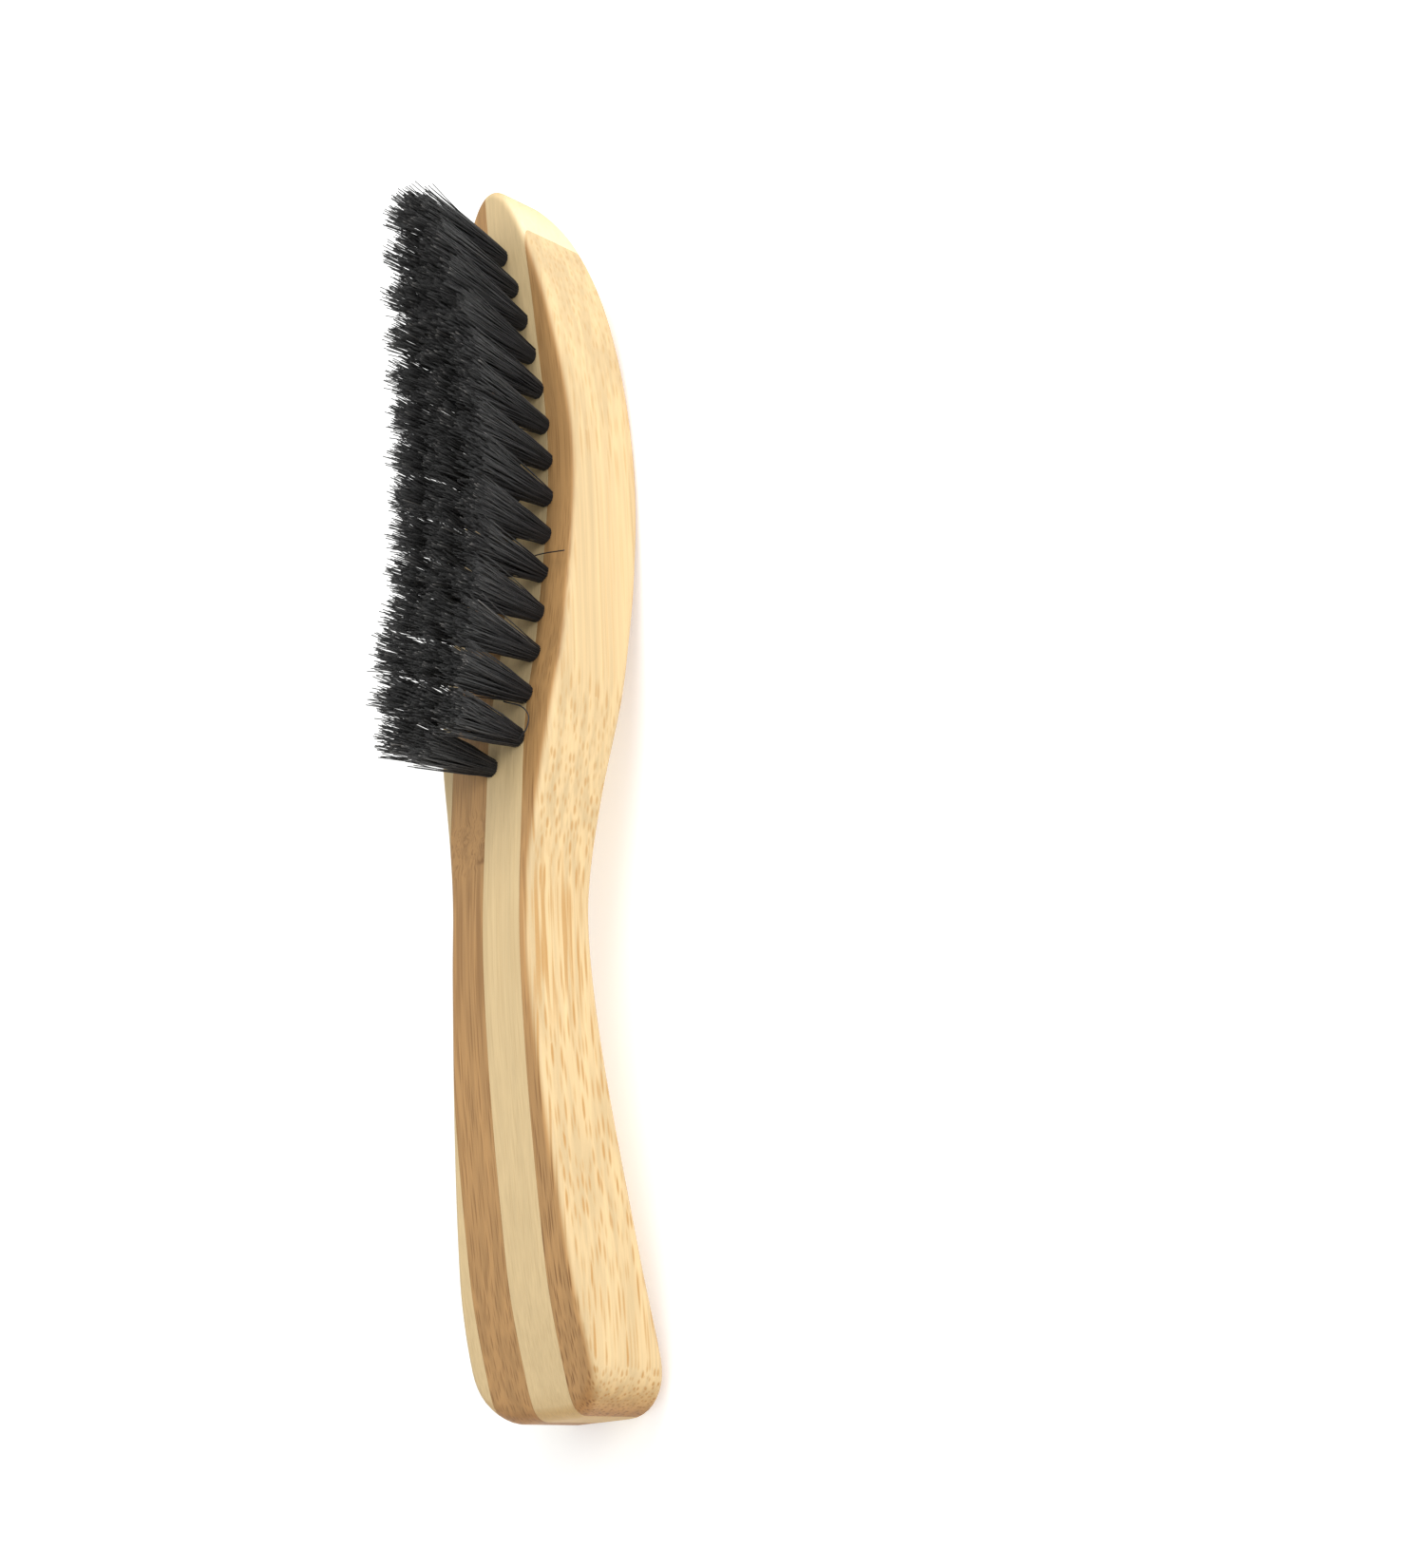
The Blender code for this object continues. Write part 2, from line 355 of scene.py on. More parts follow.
def tuft_frame(x, y):
    """Where a tuft leaves the wood, which way it points and how long it is from there."""
    root = Vector((x, y, smooth_line(FRONT_LINE, x)))
    along = (x - MIDDLE_ROW[1]) / (LEFT_ROW[0] - MIDDLE_ROW[1])
    lean = LEAN_AT_HEEL + (LEAN_AT_TIP - LEAN_AT_HEEL) * along
    direction = Vector((math.tan(lean), SPLAY_PER_METRE * y, 1.0)).normalized()
    return root, direction, (smooth_line(TRIM_LINE, x) - root.z) / direction.z


print(len(tuft_places()), "tufts")

# %% [markdown]
# ## Geometry Nodes helpers
# Whatever repeats on this brush (drilled holes, wire anchors, bristles) is made by a small Geometry
# Nodes tree. These helpers add a node, name a tree's inputs and turn a finished modifier into a
# plain mesh. An input is set through its socket's identifier, because two sockets may share a name.

# %% Helpers for node trees
def new_tree(name, inputs):
    """A Geometry Nodes tree with a geometry input and output and the named inputs."""
    tree = bpy.data.node_groups.new(name, 'GeometryNodeTree')
    tree.interface.new_socket("Geometry", in_out='OUTPUT', socket_type='NodeSocketGeometry')
    tree.interface.new_socket("Geometry", in_out='INPUT', socket_type='NodeSocketGeometry')
    for label, kind, value in inputs:
        socket = tree.interface.new_socket(label, in_out='INPUT', socket_type='NodeSocket' + kind)
        if value is not None:
            socket.default_value = value
    return tree, tree.nodes.new('NodeGroupInput').outputs


def add_node(tree, kind, settings=None, **inputs):
    """Adds a node. An input is named, or is i and its number; its value is a constant or a socket."""
    node = tree.nodes.new(kind)
    for key, value in (settings or {}).items():
        setattr(node, key, value)
    for key, value in inputs.items():
        by_number = key[0] == "i" and key[1:].isdigit()
        socket = node.inputs[int(key[1:]) if by_number else key.replace("_", " ")]
        if isinstance(value, bpy.types.NodeSocket):
            tree.links.new(value, socket)
        else:
            socket.default_value = value
    return node


def math_node(tree, operation, a, b=0.0, c=0.0):
    return add_node(tree, 'ShaderNodeMath', {"operation": operation}, i0=a, i1=b, i2=c).outputs[0]


def vector_node(tree, operation, a, b=(0.0, 0.0, 0.0)):
    return add_node(tree, 'ShaderNodeVectorMath', {"operation": operation}, i0=a, i1=b).outputs[0]


def scaled(tree, vector, factor):
    return add_node(tree, 'ShaderNodeVectorMath', {"operation": 'SCALE'}, i0=vector,
                    Scale=factor).outputs[0]


def finish_tree(tree, geometry, material):
    """Makes any copies real, gives them their material and sends them out."""
    real = add_node(tree, 'GeometryNodeRealizeInstances', Geometry=geometry)
    dressed = add_node(tree, 'GeometryNodeSetMaterial', Geometry=real.outputs["Geometry"],
                       Material=material)
    add_node(tree, 'NodeGroupOutput', Geometry=dressed.outputs["Geometry"])


def apply_tree(item, tree, values):
    """Runs the tree on the object with these inputs and keeps the result as a plain mesh."""
    modifier = item.modifiers.new(tree.name, 'NODES')
    modifier.node_group = tree
    identifiers = {s.name: s.identifier for s in tree.interface.items_tree if s.in_out == 'INPUT'}
    for label, value in values.items():
        modifier[identifiers[label]] = value
    return bake_modifiers(item)


def bake_modifiers(item):
    bpy.context.view_layer.update()
    graph = bpy.context.evaluated_depsgraph_get()
    result = bpy.data.meshes.new_from_object(item.evaluated_get(graph), depsgraph=graph)
    item.modifiers.clear()
    old = item.data
    item.data = result
    if old.users == 0:
        bpy.data.meshes.remove(old)
    return item


def new_piece(name, mesh):
    piece = bpy.data.objects.new(name, mesh)
    bpy.context.scene.collection.objects.link(piece)
    return piece


print("Helpers ready")

# %% [markdown]
# ## The drilled holes
# Each tuft sits in its own blind hole. A point marks every root, and the tree stands a cylinder on
# each point, turned along that tuft's own direction. The cylinders together are the drill, which a
# Boolean modifier takes out of the wood.

# %% Points and drill
HOLE_RADIUS = 0.00125
HOLE_DEPTH = 0.006
DRILL_LENGTH = 0.010
DRILL_SIDES = 20


def root_points(name):
    """A mesh of one point for each tuft, which remembers the tuft's direction."""
    frames = [tuft_frame(x, y) for label, x, y in tuft_places()]
    mesh = bpy.data.meshes.new(name)
    mesh.from_pydata([root for root, _, _ in frames], [], [])
    pointing = mesh.attributes.new("pointing", 'FLOAT_VECTOR', 'POINT')
    for item, (_, direction, _) in zip(pointing.data, frames):
        item.vector = direction
    return new_piece(name, mesh)


def on_every_root(name, make_shape, inputs):
    """A tree that puts a copy of one shape on each root, turned to point along its tuft."""
    tree, given = new_tree(name, inputs + [("Material", 'Material', None)])
    shape = make_shape(tree, given)
    pointing = add_node(tree, 'GeometryNodeInputNamedAttribute', {"data_type": 'FLOAT_VECTOR'},
                        Name="pointing")
    turn = add_node(tree, 'FunctionNodeAlignRotationToVector', {"axis": 'Z'},
                    Vector=pointing.outputs["Attribute"])
    copies = add_node(tree, 'GeometryNodeInstanceOnPoints', Points=given["Geometry"],
                      Instance=shape, Rotation=turn.outputs["Rotation"])
    finish_tree(tree, copies.outputs["Instances"], given["Material"])
    return tree


def drill_shape(tree, given):
    bit = add_node(tree, 'GeometryNodeMeshCylinder', Vertices=DRILL_SIDES, Radius=given["Radius"],
                   Depth=given["Length"])
    lift = math_node(tree, 'MULTIPLY_ADD', given["Length"], 0.5, given["Start"])
    offset = add_node(tree, 'ShaderNodeCombineXYZ', Z=lift).outputs[0]
    return add_node(tree, 'GeometryNodeTransform', Geometry=bit.outputs["Mesh"],
                    Translation=offset).outputs["Geometry"]


drill_tree = on_every_root("holes", drill_shape, [("Radius", 'Float', HOLE_RADIUS),
                                                 ("Length", 'Float', DRILL_LENGTH),
                                                 ("Start", 'Float', -HOLE_DEPTH)])
drills = apply_tree(root_points("tuft_drills"), drill_tree, {})
print("The drill has", len(drills.data.polygons), "faces")

# %% [markdown]
# ## Cutting the strips
# The real body is glued first and sawn after, so the glue planes run straight through the curved
# shape. Here each strip starts as the whole body and keeps only the part inside its own slab. A
# weighted-normal modifier keeps the wide faces flat beside the narrow rounding.

# %% Strips
STRIP_WIDTH = 0.0076
GLUE_LINE = 0.00003
GLUE_OFFSET = 0.0009
GLUE_SKEW = math.radians(-0.12)
NECK_X = -0.0285
SLAB_HEIGHT = 0.08
SLAB_MIDDLE_Z = 0.01
SHARP_FROM = math.radians(38.0)
FLAT_FACE_WEIGHT = 60


def slab(index, span):
    bpy.ops.mesh.primitive_cube_add(size=1.0)
    box = bpy.context.object
    size = (span[1] - span[0], STRIP_WIDTH - GLUE_LINE, SLAB_HEIGHT)
    middle = Vector(((span[0] + span[1]) / 2, (index - 1.5) * STRIP_WIDTH, SLAB_MIDDLE_Z))
    box.data.transform(Matrix.Translation(middle) @ Matrix.Diagonal((*size, 1.0)))
    box.location.y = GLUE_OFFSET
    box.rotation_euler.z = GLUE_SKEW
    return box


def cut_strip(name, index, span):
    strip = new_piece(name, sawn_body.copy())
    keep = slab(index, span)
    for operation, cutter in (('INTERSECT', keep), ('DIFFERENCE', drills)):
        cut = strip.modifiers.new(operation.lower(), 'BOOLEAN')
        cut.operation = operation
        cut.object = cutter
    bake_modifiers(strip)
    bpy.data.objects.remove(keep)
    strip.data.shade_smooth()
    strip.data.set_sharp_from_angle(angle=SHARP_FROM)
    normals = strip.modifiers.new("flat faces stay flat", 'WEIGHTED_NORMAL')
    normals.keep_sharp = True
    normals.weight = FLAT_FACE_WEIGHT
    return bake_modifiers(strip)


EVERYWHERE = (-0.1, 0.1)
STRIPS = {"outer_strip_dark": (0, EVERYWHERE), "inner_strip_pale": (1, EVERYWHERE),
          "inner_strip_dark": (2, EVERYWHERE), "outer_strip_pale_head": (3, (NECK_X, 0.1)),
          "outer_strip_pale_handle": (3, (-0.1, NECK_X))}
strips = {name: cut_strip("bamboo_" + name, *facts) for name, facts in STRIPS.items()}
bpy.data.meshes.remove(sawn_body)
for name, strip in strips.items():
    print(f"{name}: {len(strip.data.polygons)} faces")

# %% [markdown]
# ## Bamboo
# Bamboo has no rings. It is a pale ground with bundles of dark fibre that run along the stem like
# thin rods. Where a face is cut along the rods they show as long streaks, where it is cut at a slant
# as short ticks, and on the end as dots. One solid pattern gives all three: stretched cells fixed in
# space, which every face simply slices. Slow noise makes the rods wander, so that streaks end.

# %% Pattern helpers
def ramp(tree, value, low, high, at_low=0.0, at_high=1.0):
    """A smooth step between two values."""
    return add_node(tree, 'ShaderNodeMapRange', {"interpolation_type": 'SMOOTHSTEP'}, Value=value,
                    From_Min=low, From_Max=high, To_Min=at_low, To_Max=at_high).outputs[0]


def noise(tree, place, frequency, detail, output="Fac"):
    """Noise with its own frequency along each axis, in cells per metre."""
    vector = vector_node(tree, 'MULTIPLY', place, frequency)
    return add_node(tree, 'ShaderNodeTexNoise', Vector=vector, Scale=1.0,
                    Detail=detail).outputs[output]


def centred_noise(tree, place, frequency):
    """Three noises in one vector, each about zero."""
    return vector_node(tree, 'SUBTRACT', noise(tree, place, frequency, 1.0, "Color"), (0.5, 0.5, 0.5))


def distance_from(tree, value, middle):
    return math_node(tree, 'ABSOLUTE', math_node(tree, 'SUBTRACT', value, middle))


def parts_of(tree, vector):
    return add_node(tree, 'ShaderNodeSeparateXYZ', Vector=vector).outputs


def mix_color(tree, amount, a, b):
    node = tree.nodes.new('ShaderNodeMix')
    node.data_type = 'RGBA'
    for socket, value in zip((node.inputs[0], node.inputs[6], node.inputs[7]), (amount, a, b)):
        if isinstance(value, bpy.types.NodeSocket):
            tree.links.new(value, socket)
        elif isinstance(value, tuple):
            socket.default_value = (*value, 1.0)
        else:
            socket.default_value = value
    return node.outputs[2]


print("Pattern helpers ready")

# %% [markdown]
# ## Rods, streaks and a knuckle
# The rods are cells in the plane across the stem: each has a middle, and luck decides how dark it is.
# At the narrow neck the saw ran along them, so there they show as long streaks. At a knuckle, where a
# leaf once grew, the rods swirl and a short scar crosses the strip.

# %% Rods, streaks and a knuckle
ROD_FREQUENCY = (0.0, 2400.0, 1350.0)
ROD_EDGE = (0.02, 0.34)
STREAK_FREQUENCY = (30.0, 1300.0, 1300.0)
STREAK_EDGE = (0.46, 0.62)
STREAK_FADE = (0.004, 0.016)
STREAK_STRENGTH = 0.85
SCAR_HALF_WIDTH = 0.0009
SCAR_END = (0.0004, 0.0018)
SCAR_RIPPLE = 0.003
SWIRL_OFFSET = 0.003
SWIRL_FADE = (0.001, 0.006)
SWIRL_SIZE = 0.0030


def rods_across(tree, wandering):
    across = parts_of(tree, vector_node(tree, 'MULTIPLY', wandering, ROD_FREQUENCY))
    plane = add_node(tree, 'ShaderNodeCombineXYZ', X=across["Y"], Y=across["Z"])
    cells = add_node(tree, 'ShaderNodeTexVoronoi', {"voronoi_dimensions": '2D'},
                     Vector=plane.outputs[0], Scale=1.0, Randomness=0.9)
    luck = add_node(tree, 'ShaderNodeSeparateColor', Color=cells.outputs["Color"]).outputs[0]
    nearness = math_node(tree, 'MULTIPLY_ADD', luck, -0.14, cells.outputs["Distance"])
    darkness = math_node(tree, 'MULTIPLY_ADD', luck, 0.60, 0.40)
    return math_node(tree, 'MULTIPLY', ramp(tree, nearness, *ROD_EDGE, 1.0, 0.0), darkness)


def neck_streaks(tree, wandering, along, strength):
    streaks = ramp(tree, noise(tree, wandering, STREAK_FREQUENCY, 1.0), *STREAK_EDGE)
    near_neck = ramp(tree, distance_from(tree, along, NECK_X), *STREAK_FADE,
                     STREAK_STRENGTH * strength, 0.0)
    return math_node(tree, 'MULTIPLY', streaks, near_neck)


def knuckle_marks(tree, own, place, knuckle):
    """How far a knuckle at this place pushes the rods aside, and where its scar is."""
    spot = parts_of(tree, vector_node(tree, 'SUBTRACT', place, knuckle))
    ripple = noise(tree, own, (420.0, 420.0, 420.0), 2.0)
    bent = math_node(tree, 'MULTIPLY_ADD', ripple, SCAR_RIPPLE,
                     math_node(tree, 'SUBTRACT', spot["X"], SCAR_RIPPLE / 2))
    swirl = ramp(tree, distance_from(tree, bent, SWIRL_OFFSET), *SWIRL_FADE, SWIRL_SIZE, 0.0)
    whirl = scaled(tree, centred_noise(tree, own, (500.0, 700.0, 700.0)), swirl)
    across = ramp(tree, distance_from(tree, spot["Y"], 0.0), *SCAR_END, 1.0, 0.0)
    scar = ramp(tree, distance_from(tree, bent, 0.0), 0.0, SCAR_HALF_WIDTH, 1.0, 0.0)
    return whirl, math_node(tree, 'MULTIPLY', scar, across)


print("Rods", round(1000 / ROD_FREQUENCY[1], 2), "mm apart across a strip")

# %% [markdown]
# ## One strip's wood
# The rods lie over a ground with fine fibres and slow bands. They are crowded and dark towards the
# handle, which was nearer the root of the stem. The side faces get paler, lit copies of the ground
# and rod colours, which is painted light on the sides. End grain drinks more oil and is darker.
# Sanded and oiled wood is satin, a little rougher on the fibres, and the rods lie just below the
# surface.

# %% Bamboo material
ROD_DRIFT = 0.0009
ROOT_TO_TIP = (-0.035, 0.030)
AT_THE_TIP = 0.45
FIBRE_FREQUENCY = (60.0, 3000.0, 3000.0)
BAND_FREQUENCY = (8.0, 750.0, 750.0)
BAND_EDGE = (0.32, 0.68)
DRIFT_FREQUENCY = (30.0, 60.0, 60.0)
# Painted light: how far a face turns sideways before it gets the paler, lit side colours.
PAINTED_SIDE_LIGHT_FACING = (0.30, 0.85)
END_FACE = (0.20, 0.80)
END_GRAIN = (0.80, 0.68, 0.50)
SCAR_DARKNESS = 0.8
FIBRE_CONTRAST, FIBRE_DARKEST = 0.26, 0.87
ROUGH_FIBRE, SMOOTHEST = 0.22, 0.40
ROD_SINKS = 0.7
RELIEF = 0.00006


def bamboo_material(name, ground, lit_side_ground, rod, lit_side_rod, strength, shift, knuckle=None,
                    banding=0.1):
    """The shift moves a strip's pattern, so that no two strips match at the glue."""
    material = bpy.data.materials.new(name)
    material.use_nodes = True
    tree = material.node_tree
    shader = tree.nodes["Principled BSDF"]
    coordinates = add_node(tree, 'ShaderNodeTexCoord')
    place = coordinates.outputs["Object"]
    along = parts_of(tree, place)["X"]
    own = vector_node(tree, 'ADD', place, shift)

    # The rods wander by a few tenths of a millimetre along the stem.
    drift = vector_node(tree, 'MULTIPLY', centred_noise(tree, own, DRIFT_FREQUENCY),
                        (0.0, ROD_DRIFT, ROD_DRIFT))
    if knuckle is not None:
        whirl, scar = knuckle_marks(tree, own, place, knuckle)
        drift = vector_node(tree, 'ADD', drift, whirl)
    wandering = vector_node(tree, 'ADD', own, drift)
    rods = rods_across(tree, wandering)
    rooted = ramp(tree, along, *ROOT_TO_TIP, strength, AT_THE_TIP * strength)
    depth = math_node(tree, 'MAXIMUM', math_node(tree, 'MULTIPLY', rods, rooted),
                      neck_streaks(tree, wandering, along, strength))
    fibres = noise(tree, wandering, FIBRE_FREQUENCY, 3.0)
    bands = ramp(tree, noise(tree, wandering, BAND_FREQUENCY, 2.0), *BAND_EDGE)

    facing = parts_of(tree, coordinates.outputs["Normal"])
    # Painted light: side faces get paler, lit copies of the ground and rod colours.
    painted_side_light = ramp(tree, distance_from(tree, facing["Y"], 0.0), *PAINTED_SIDE_LIGHT_FACING)
    endways = ramp(tree, distance_from(tree, facing["X"], 0.0), *END_FACE)
    rod_color = mix_color(tree, painted_side_light, rod, lit_side_rod)
    shade = math_node(tree, 'MULTIPLY',
                      math_node(tree, 'MULTIPLY_ADD', fibres, FIBRE_CONTRAST, FIBRE_DARKEST),
                      math_node(tree, 'MULTIPLY_ADD', bands, 2.0 * banding, 1.0 - banding))
    color = scaled(tree, mix_color(tree, painted_side_light, ground, lit_side_ground), shade)
    color = mix_color(tree, depth, color, rod_color)
    color = vector_node(tree, 'MULTIPLY', color,
                        mix_color(tree, endways, (1.0, 1.0, 1.0), END_GRAIN))
    if knuckle is not None:
        color = mix_color(tree, math_node(tree, 'MULTIPLY', scar, SCAR_DARKNESS), color, rod_color)
    tree.links.new(color, shader.inputs["Base Color"])

    roughness = math_node(tree, 'MULTIPLY_ADD', fibres, ROUGH_FIBRE, SMOOTHEST)
    tree.links.new(roughness, shader.inputs["Roughness"])
    height = math_node(tree, 'SUBTRACT', fibres, math_node(tree, 'MULTIPLY', rods, ROD_SINKS))
    bump = add_node(tree, 'ShaderNodeBump', Height=height, Strength=0.25, Distance=RELIEF)
    tree.links.new(bump.outputs["Normal"], shader.inputs["Normal"])
    shader.inputs["Specular IOR Level"].default_value = 0.35
    return material


print("Bamboo material ready")

# %% [markdown]
# ## Dressing the strips
# Dark strips are steamed until their sugar browns. Each wood has four colours: its ground and its
# rods on the front, and paler, lit copies of both on the sides, which are painted light. A strip
# then rides on the CAD body and replaces its own node.

# %% Dressing the strips
# The second and fourth colours of each wood are paler, lit copies for the side faces: painted light.
PALE_WOOD = ((0.70, 0.53, 0.285), (0.78, 0.66, 0.42), (0.52, 0.36, 0.17), (0.60, 0.45, 0.24))
DARK_WOOD = ((0.465, 0.262, 0.102), (0.575, 0.424, 0.226), (0.25, 0.125, 0.042), (0.450, 0.252, 0.082))
KNUCKLE = (-0.0160, 0.0013, 0.0)
outer_pale = bamboo_material("bamboo, outer pale strip", *PALE_WOOD, 0.26, (0.523, 0.09, 0.06),
                             banding=0.03)
bamboo = {
    "outer_strip_dark": bamboo_material("bamboo, outer dark strip", *DARK_WOOD, 1.0,
                                        (0.013, 0.0, 0.0)),
    "inner_strip_pale": bamboo_material("bamboo, inner pale strip", *PALE_WOOD, 0.26,
                                        (0.171, 0.03, 0.02), banding=0.03),
    "inner_strip_dark": bamboo_material("bamboo, inner dark strip", *DARK_WOOD, 0.70,
                                        (0.317, 0.06, 0.04), knuckle=KNUCKLE),
    "outer_strip_pale_head": outer_pale,
    "outer_strip_pale_handle": outer_pale}
for name, strip in strips.items():
    strip.data.materials.clear()
    strip.data.materials.append(bamboo[name])
    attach(strip, "root")
    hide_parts(name)
print(len(strips), "strips dressed")

# %% [markdown]
# ## Bristle
# Natural black bristle is glossy along its length and runs from darker at the root to lighter at the
# tip. Each bristle carries two values made with its mesh: how far along it a point is, and how light
# that hair happens to be. A few hairs are painted lighter along their whole length as painted
# highlight streaks, and some cut ends are grey, partly their own colour and partly painted glints.

# %% Bristle material
BRISTLE_LOW = (0.030, 0.0305, 0.0325)
BRISTLE_HIGH = (0.068, 0.069, 0.069)
# Painted highlight: a few whole hairs are paler, standing in for highlight streaks.
PAINTED_HIGHLIGHT_HAIR = (0.17, 0.16, 0.15)
# Cut ends: partly their own grey, partly painted glints.
CUT_END_AND_GLINT = (0.24, 0.23, 0.22)
DARK_UNTIL = 0.3
PAINTED_HIGHLIGHT_TONES = (0.90, 1.0)
GREY_END_AND_GLINT_FROM = 0.95
GREY_END_AND_GLINT_TONES = (0.74, 0.94)


def bristle_material(name):
    material = bpy.data.materials.new(name)
    material.use_nodes = True
    tree = material.node_tree
    shader = tree.nodes["Principled BSDF"]
    along = add_node(tree, 'ShaderNodeAttribute', {"attribute_name": "along"}).outputs["Fac"]
    tone = add_node(tree, 'ShaderNodeAttribute', {"attribute_name": "tone"}).outputs["Fac"]
    color = mix_color(tree, ramp(tree, along, DARK_UNTIL, 1.0), BRISTLE_LOW, BRISTLE_HIGH)
    # Painted highlight: the lightest-toned hairs turn pale along their whole length.
    color = mix_color(tree, ramp(tree, tone, *PAINTED_HIGHLIGHT_TONES), color, PAINTED_HIGHLIGHT_HAIR)
    # Some cut ends turn grey: partly their own colour, partly painted glints.
    grey_end_and_glint = math_node(tree, 'MULTIPLY', ramp(tree, along, GREY_END_AND_GLINT_FROM, 1.0),
                         ramp(tree, tone, *GREY_END_AND_GLINT_TONES))
    color = mix_color(tree, grey_end_and_glint, color, CUT_END_AND_GLINT)
    tree.links.new(color, shader.inputs["Base Color"])
    tree.links.new(math_node(tree, 'MULTIPLY_ADD', tone, -0.12, 0.55), shader.inputs["Roughness"])
    shader.inputs["Specular IOR Level"].default_value = 0.30
    return material


black_bristle = bristle_material("black bristle")
print("Bristle material ready")

# %% [markdown]
# ## Where a bristle stands
# In the hole the bristles are packed in a sunflower spiral. Near the tips they stick together in
# small locks: the tips are sorted into the squares of a grid, and each square is one lock with luck
# of its own. The grid is shuffled from tuft to tuft.

# %% Spiral, luck and locks
GOLDEN_ANGLE = math.pi * (3.0 - math.sqrt(5.0))
SHUFFLE_PER_SEED = (0.00037, 0.00071, 0.0)


def spiral_place(tree, number, count):
    """A bristle's place on a disc of radius one."""
    order = math_node(tree, 'DIVIDE', math_node(tree, 'ADD', number, 0.5), count)
    angle = math_node(tree, 'MULTIPLY', number, GOLDEN_ANGLE)
    circle = add_node(tree, 'ShaderNodeCombineXYZ', X=math_node(tree, 'COSINE', angle),
                      Y=math_node(tree, 'SINE', angle)).outputs[0]
    return scaled(tree, circle, math_node(tree, 'SQRT', order))


def bristle_luck(tree, number, seed, offset):
    """Three random values from -1 to 1 for each bristle."""
    own_seed = math_node(tree, 'ADD', seed, offset)
    return add_node(tree, 'FunctionNodeRandomValue', {"data_type": 'FLOAT_VECTOR'}, ID=number,
                    Seed=own_seed, i0=(-1.0, -1.0, -1.0), i1=(1.0, 1.0, 1.0)).outputs[0]


def lock_of(tree, at_tip, size, seed):
    """The middle of the lock that a tip belongs to, and that lock's luck from 0 to 1."""
    step = add_node(tree, 'ShaderNodeCombineXYZ', X=size, Y=size, Z=1.0).outputs[0]
    shuffle = vector_node(tree, 'ADD', scaled(tree, SHUFFLE_PER_SEED, seed), (0.0, 0.0, 0.5))
    corner = vector_node(tree, 'SNAP', vector_node(tree, 'ADD', at_tip, shuffle), step)
    middle = vector_node(tree, 'ADD', corner, scaled(tree, step, 0.5))
    lock = vector_node(tree, 'SUBTRACT', middle, shuffle)
    luck = add_node(tree, 'ShaderNodeTexWhiteNoise', Vector=scaled(tree, lock, 1000.0))
    return lock, luck.outputs["Value"]


print("Each bristle turns", round(math.degrees(GOLDEN_ANGLE), 1), "degrees from the one before")

# %% [markdown]
# ## How a bristle bends
# Each bristle bows a little, curls towards its tip and leans into its lock. Luck to the ninth power
# is small for nearly every bristle, so only a few stray well outside the bundle.

# %% Sideways moves
WILDNESS = 1.6
BOW = 0.35


def sideways_move(tree, rise, to_lock, gather, curl_size, bend, stray):
    """How far a point of a bristle moves across the tuft. Rise is 0 at the wood and 1 at the tip."""
    gathered = scaled(tree, to_lock, math_node(
        tree, 'MULTIPLY', math_node(tree, 'POWER', rise, 3.0), gather))
    square = vector_node(tree, 'MULTIPLY', stray, stray)
    fourth = vector_node(tree, 'MULTIPLY', square, square)
    wild = vector_node(tree, 'MULTIPLY', vector_node(tree, 'MULTIPLY', fourth, fourth), stray)
    curl = math_node(tree, 'MULTIPLY', math_node(tree, 'POWER', rise, 2.0), curl_size)
    bow = math_node(tree, 'SINE', math_node(tree, 'MULTIPLY', rise, math.pi))
    bow = math_node(tree, 'MULTIPLY', bow, math_node(tree, 'MULTIPLY', curl_size, BOW))
    move = vector_node(tree, 'ADD', gathered, scaled(tree, bend, curl))
    move = vector_node(tree, 'ADD', move, scaled(tree, stray, bow))
    move = vector_node(tree, 'ADD', move,
                       scaled(tree, wild, math_node(tree, 'MULTIPLY', curl, WILDNESS)))
    return vector_node(tree, 'MULTIPLY', move, (1.0, 1.0, 0.0))


print("Strays reach up to", WILDNESS, "curls out")

# %% [markdown]
# ## The bristles
# A tuft is about a hundred bristles folded in half, so some two hundred ends come out of one hole.
# The tree starts with one straight line, copies it once for each end, and moves the copies to their
# places. They open towards the tips, and each lock is cut at its own length. A bristle is a
# three-sided tube, slightly thinner towards its end.

# %% Bristle tree
POINTS_ALONG = 7
SPREAD_POWER = 0.62
TAPER = -0.3
LOCK_SHARE = 1.4
OWN_SHARE = 0.35


